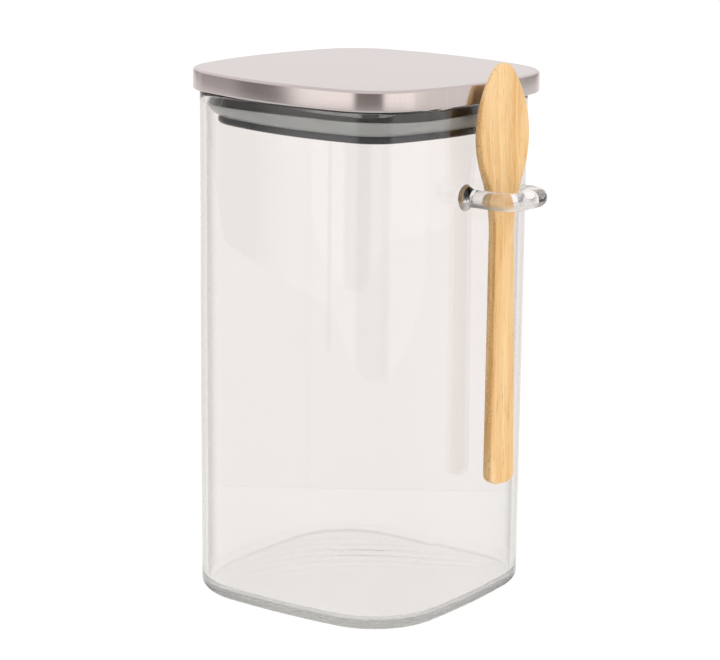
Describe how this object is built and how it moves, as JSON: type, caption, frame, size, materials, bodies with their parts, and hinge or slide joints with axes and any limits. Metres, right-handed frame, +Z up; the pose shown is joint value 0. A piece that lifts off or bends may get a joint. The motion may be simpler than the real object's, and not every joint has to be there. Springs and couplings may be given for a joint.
{
  "type": "lidded glass canister with spoon loop",
  "caption": "Rounded-square glass storage canister with a flat metal lid on a sealing plug, and a wooden spoon held in a glass loop on its side.",
  "frame": {"origin": "centre of the flat base, on the surface that the canister stands on", "axes": "+Z up through the lid, +X out through the side that carries the loop and spoon"},
  "size_m": [0.125, 0.1068, 0.194],
  "materials": {
    "glass": "clear, fire-polished",
    "lid_steel": "fine brushed",
    "lid_filler": "matte",
    "plug_steel": "polished",
    "seal": "translucent, satin",
    "bamboo": "fine grain, satin"
  },
  "bodies": {
    "jar": {"glass_jar": "glass", "spoon_loop": "glass"},
    "lid": {"lid_cap": "lid_steel", "lid_core": "lid_filler", "lid_plug": "plug_steel", "sealing_ring": "seal"},
    "spoon_body": {"spoon": "bamboo"}
  },
  "joints": [
    {"name": "lid_lift", "type": "slide", "parent": "jar", "child": "lid", "axis": [0, 0, 1], "range_m": [0, 0.06]},
    {"name": "spoon_lift", "type": "slide", "parent": "jar", "child": "spoon_body", "axis": [0, 0, 1], "range_m": [0, 0.11]}
  ]
}
